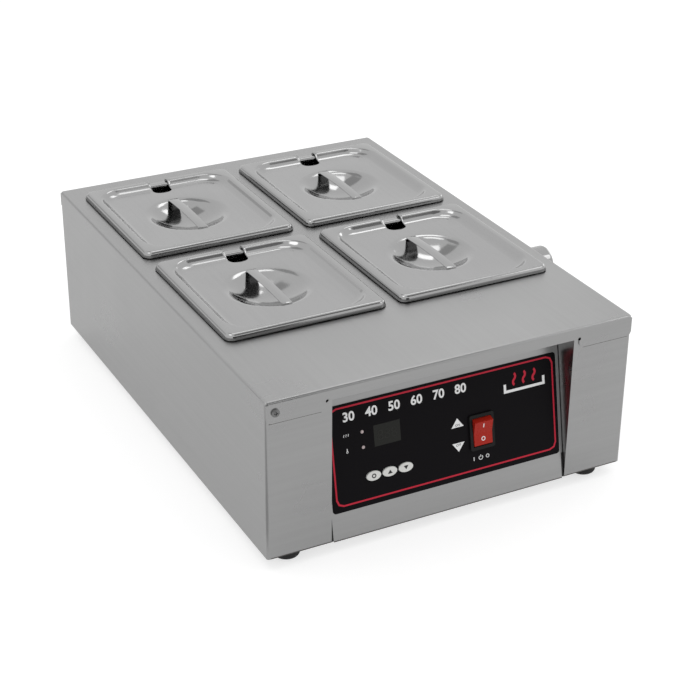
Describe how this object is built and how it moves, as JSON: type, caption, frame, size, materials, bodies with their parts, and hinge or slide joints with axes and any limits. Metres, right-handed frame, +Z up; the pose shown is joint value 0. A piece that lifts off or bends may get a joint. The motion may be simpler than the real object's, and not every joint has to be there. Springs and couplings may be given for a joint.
{
  "type": "chocolate melting tank",
  "caption": "Bench-top water-bath melting tank with lidded pans in a folded steel housing, a leaning control panel with display, keys and rocker switch, and a capped filler neck.",
  "frame": {"origin": "on the bench, under the middle of the housing", "axes": "+X to the right seen from the front, +Y to the back, +Z up; the control panel faces -Y"},
  "size_m": [0.395, 0.5352, 0.1778],
  "materials": {
    "steel_satin": "satin brushed stainless sheet",
    "steel_bright": "bright pressed stainless sheet",
    "steel_dark": "dark oxidised steel",
    "zinc": "bright zinc plate",
    "film_black": "satin printed film",
    "window_dark": "smoked gloss",
    "module_pale": "matt",
    "board_green": "solder mask",
    "brass": "plain",
    "lamp_red": "clear gloss",
    "key_white": "satin",
    "plastic_black": "satin",
    "rocker_red": "satin gloss",
    "bakelite": "matt",
    "rubber_black": "matt"
  },
  "bodies": {
    "housing": {"housing_shell": "steel_satin", "base_plate": "steel_satin", "rear_panel": "steel_satin", "control_panel": "steel_satin", "panel_overlay": "film_black", "display_window": "window_dark", "display_module": "module_pale", "control_board": "board_green", "board_standoffs": "brass", "lamp_upper": "lamp_red", "lamp_lower": "lamp_red", "rocker_frame": "plastic_black", "bath_tank": "steel_satin", "heating_element": "steel_dark", "heater_nuts": "brass", "heater_supports": "steel_satin", "water_probe": "steel_bright", "probe_nut": "brass", "limit_thermostat": "bakelite", "power_relay": "plastic_black", "terminal_block": "module_pale", "cord_gland": "plastic_black", "gland_nut": "plastic_black", "filler_neck": "steel_satin", "neck_nut": "steel_bright", "foot_front_left": "rubber_black", "foot_front_right": "rubber_black", "foot_rear_left": "rubber_black", "foot_rear_right": "rubber_black", "foot_screws": "zinc", "foot_nuts": "zinc", "base_screws": "zinc", "rear_screws": "zinc", "flange_screw": "zinc"},
    "pan_front_left": {"pan_front_left": "steel_bright"},
    "pan_front_right": {"pan_front_right": "steel_bright"},
    "pan_rear_left": {"pan_rear_left": "steel_bright"},
    "pan_rear_right": {"pan_rear_right": "steel_bright"},
    "lid_front_left": {"lid_front_left": "steel_bright", "lid_handle_front_left": "steel_bright"},
    "lid_front_right": {"lid_front_right": "steel_bright", "lid_handle_front_right": "steel_bright"},
    "lid_rear_left": {"lid_rear_left": "steel_bright", "lid_handle_rear_left": "steel_bright"},
    "lid_rear_right": {"lid_rear_right": "steel_bright", "lid_handle_rear_right": "steel_bright"},
    "key_set": {"key_set": "key_white"},
    "key_up": {"key_up": "key_white"},
    "key_down": {"key_down": "key_white"},
    "rocker": {"rocker_paddle": "rocker_red"},
    "filler_cap": {"filler_cap": "steel_bright", "cap_seal": "rubber_black"}
  },
  "joints": [
    {"name": "pan_front_left_lift", "type": "slide", "parent": "housing", "child": "pan_front_left", "axis": [0, 0, 1], "range_m": [0, 0.12]},
    {"name": "pan_front_right_lift", "type": "slide", "parent": "housing", "child": "pan_front_right", "axis": [0, 0, 1], "range_m": [0, 0.12]},
    {"name": "pan_rear_left_lift", "type": "slide", "parent": "housing", "child": "pan_rear_left", "axis": [0, 0, 1], "range_m": [0, 0.12]},
    {"name": "pan_rear_right_lift", "type": "slide", "parent": "housing", "child": "pan_rear_right", "axis": [0, 0, 1], "range_m": [0, 0.12]},
    {"name": "lid_front_left_lift", "type": "slide", "parent": "pan_front_left", "child": "lid_front_left", "axis": [0, 0, 1], "range_m": [0, 0.06]},
    {"name": "lid_front_right_lift", "type": "slide", "parent": "pan_front_right", "child": "lid_front_right", "axis": [0, 0, 1], "range_m": [0, 0.06]},
    {"name": "lid_rear_left_lift", "type": "slide", "parent": "pan_rear_left", "child": "lid_rear_left", "axis": [0, 0, 1], "range_m": [0, 0.06]},
    {"name": "lid_rear_right_lift", "type": "slide", "parent": "pan_rear_right", "child": "lid_rear_right", "axis": [0, 0, 1], "range_m": [0, 0.06]},
    {"name": "key_set_press", "type": "slide", "parent": "housing", "child": "key_set", "axis": [0, 0.9816, -0.1908], "range_m": [0, 0.0006], "stiffness_N_per_m": 400, "springref_m": -0.001},
    {"name": "key_up_press", "type": "slide", "parent": "housing", "child": "key_up", "axis": [0, 0.9816, -0.1908], "range_m": [0, 0.0006], "stiffness_N_per_m": 400, "springref_m": -0.001},
    {"name": "key_down_press", "type": "slide", "parent": "housing", "child": "key_down", "axis": [0, 0.9816, -0.1908], "range_m": [0, 0.0006], "stiffness_N_per_m": 400, "springref_m": -0.001},
    {"name": "rocker_throw", "type": "hinge", "parent": "housing", "child": "rocker", "pos_m": [0.036, -0.24205, 0.07846], "axis": [-1, 0, 0], "range_deg": [0, 16]},
    {"name": "cap_pull", "type": "slide", "parent": "housing", "child": "filler_cap", "axis": [1, 0, 0], "range_m": [0, 0.016]}
  ]
}
